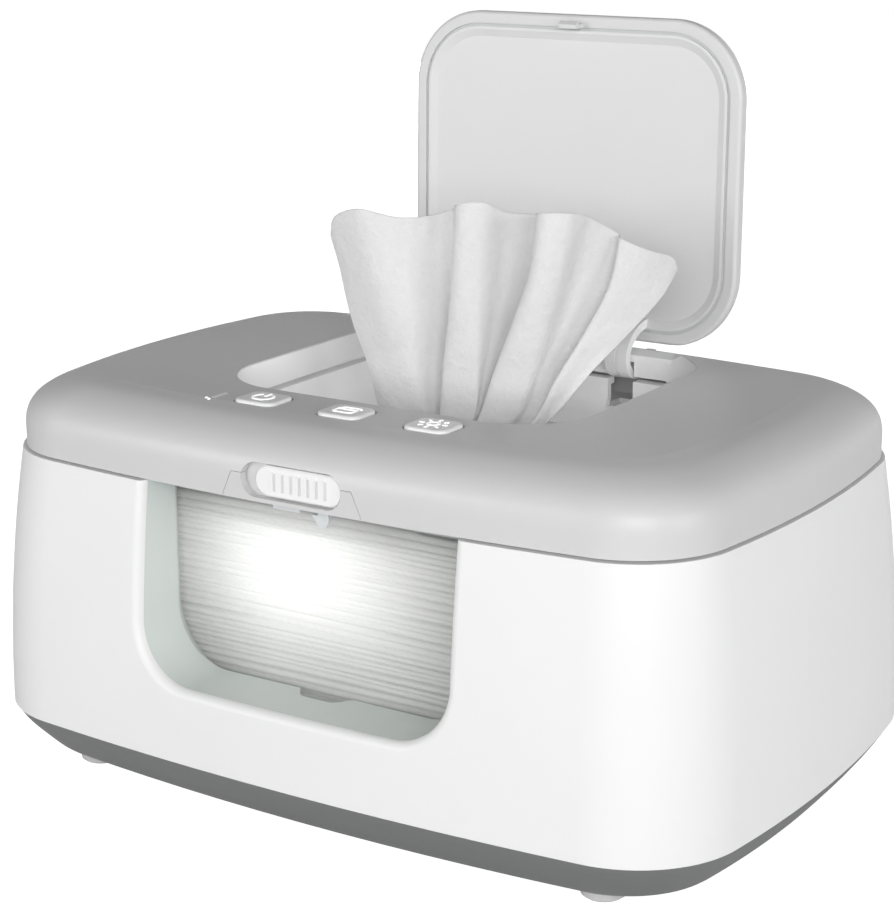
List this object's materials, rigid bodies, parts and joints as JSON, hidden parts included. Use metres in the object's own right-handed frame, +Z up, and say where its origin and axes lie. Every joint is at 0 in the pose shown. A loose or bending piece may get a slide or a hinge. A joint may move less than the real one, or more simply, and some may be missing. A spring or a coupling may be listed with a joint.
{
  "type": "baby wipe warmer",
  "caption": "Heated tub for moist baby wipes with a viewing window, a hinged cover, a spring-opened dispensing lid, push buttons and a slide latch.",
  "frame": {"origin": "middle of the footprint on the table, below the middle of the housing", "axes": "+X to the object's right, -Y towards the user, where the buttons, the latch and the window are, +Z up"},
  "size_m": [0.24, 0.164, 0.2096],
  "materials": {
    "shell_white": "smooth moulded ABS, soft satin gloss",
    "cover_grey": "light grey moulded ABS with a smooth satin gloss",
    "bezel_grey": "light grey moulded ABS insert",
    "base_grey": "mid grey moulded ABS, fine satin",
    "foot_rubber": "pale translucent silicone rubber",
    "screw_steel": "zinc plated steel screws",
    "pin_steel": "bright steel pins",
    "tub_plastic": "polypropylene, slightly waxy",
    "frame_plastic": "pale green-grey semi-translucent plastic",
    "window_clear": "clear polished plastic pane",
    "gasket_silicone": "grey silicone, matt",
    "heater_metal": "mill finish plate",
    "heater_foil": "amber polyimide film",
    "pad_felt": "needled insulating felt",
    "sensor_ceramic": "dark phenolic thermostat body",
    "fuse_metal": "tinned fuse case",
    "board_green": "circuit board with solder mask",
    "jack_black": "black moulded socket with a metal centre pin",
    "switch_black": "small black key switches",
    "wipe_fabric": "moist white nonwoven with a faint embossed grain",
    "lining_plastic": "light grey moulded lining",
    "seal_silicone": "soft pale silicone collar",
    "lens_frosted": "frosted light guide",
    "spring_steel": "bright spring wire",
    "lid_plastic": "light grey moulded lid, satin",
    "panel_plastic": "pale moulded lid lining",
    "arm_white": "bright white acetal hinge arms",
    "button_white": "pale keycaps with brighter edges",
    "slider_white": "bright white finger slide",
    "hook_clear": "pale semi-clear latch hook"
  },
  "bodies": {
    "housing": {"outer_shell": "shell_white", "base_tray": "base_grey", "rubber_feet": "foot_rubber", "base_screws": "screw_steel", "cover_hinge_pins": "pin_steel", "inner_tub": "tub_plastic", "window_frame": "frame_plastic", "window_panel": "window_clear", "window_gasket": "gasket_silicone", "heater_plate": "heater_metal", "heater_film": "heater_foil", "insulation_pad": "pad_felt", "thermostat": "sensor_ceramic", "thermal_fuse": "fuse_metal", "power_board": "board_green", "board_screws": "screw_steel", "dc_jack": "jack_black", "wipe_stack": "wipe_fabric"},
    "cover": {"top_cover": "cover_grey", "cover_liner": "lining_plastic", "dispenser_bowl": "lining_plastic", "dispenser_seal": "seal_silicone", "cover_screws": "screw_steel", "control_board": "board_green", "tact_switches": "switch_black", "indicator_lens": "lens_frosted", "light_board": "board_green", "light_lens": "lens_frosted", "latch_bezel": "bezel_grey", "lid_hinge_pins": "pin_steel", "lid_spring": "spring_steel", "pulled_wipe": "wipe_fabric", "release_springs": "spring_steel"},
    "lid": {"lid_outer": "lid_plastic", "lid_inner_panel": "panel_plastic", "lid_gasket": "gasket_silicone", "lid_hinge_arms": "arm_white"},
    "power_button": {"power_button": "button_white"},
    "release_button": {"release_button": "button_white"},
    "light_button": {"light_button": "button_white"},
    "lid_catch": {"lid_catch": "lining_plastic"},
    "latch_slider": {"latch_slider": "slider_white", "latch_hook": "hook_clear"}
  },
  "joints": [
    {"name": "cover_hinge", "type": "hinge", "parent": "housing", "child": "cover", "pos_m": [0, 0.0792, 0.0938], "axis": [-1, 0, 0], "range_deg": [0, 95]},
    {"name": "lid_hinge", "type": "hinge", "parent": "cover", "child": "lid", "pos_m": [0, 0.0654, 0.1063], "axis": [1, 0, 0], "range_deg": [0, 91], "stiffness_Nm_per_rad": 0.01, "deforming": ["pulled_wipe"]},
    {"name": "power_press", "type": "slide", "parent": "cover", "child": "power_button", "axis": [0, 0, -1], "range_m": [0, 0.0006], "stiffness_N_per_m": 900, "springref_m": -0.0002},
    {"name": "release_press", "type": "slide", "parent": "cover", "child": "release_button", "axis": [0, 0, -1], "range_m": [0, 0.0012], "stiffness_N_per_m": 500, "springref_m": -0.0004, "deforming": ["release_springs"]},
    {"name": "light_press", "type": "slide", "parent": "cover", "child": "light_button", "axis": [0, 0, -1], "range_m": [0, 0.0006], "stiffness_N_per_m": 900, "springref_m": -0.0002},
    {"name": "catch_slide", "type": "slide", "parent": "cover", "child": "lid_catch", "axis": [0, -1, 0], "range_m": [0, 0.0012]},
    {"name": "latch_slide", "type": "slide", "parent": "cover", "child": "latch_slider", "axis": [-1, 0, 0], "range_m": [0, 0.004]}
  ],
  "couplings": [
    {"joint": "catch_slide", "follows": "release_press", "ratio": 1}
  ]
}
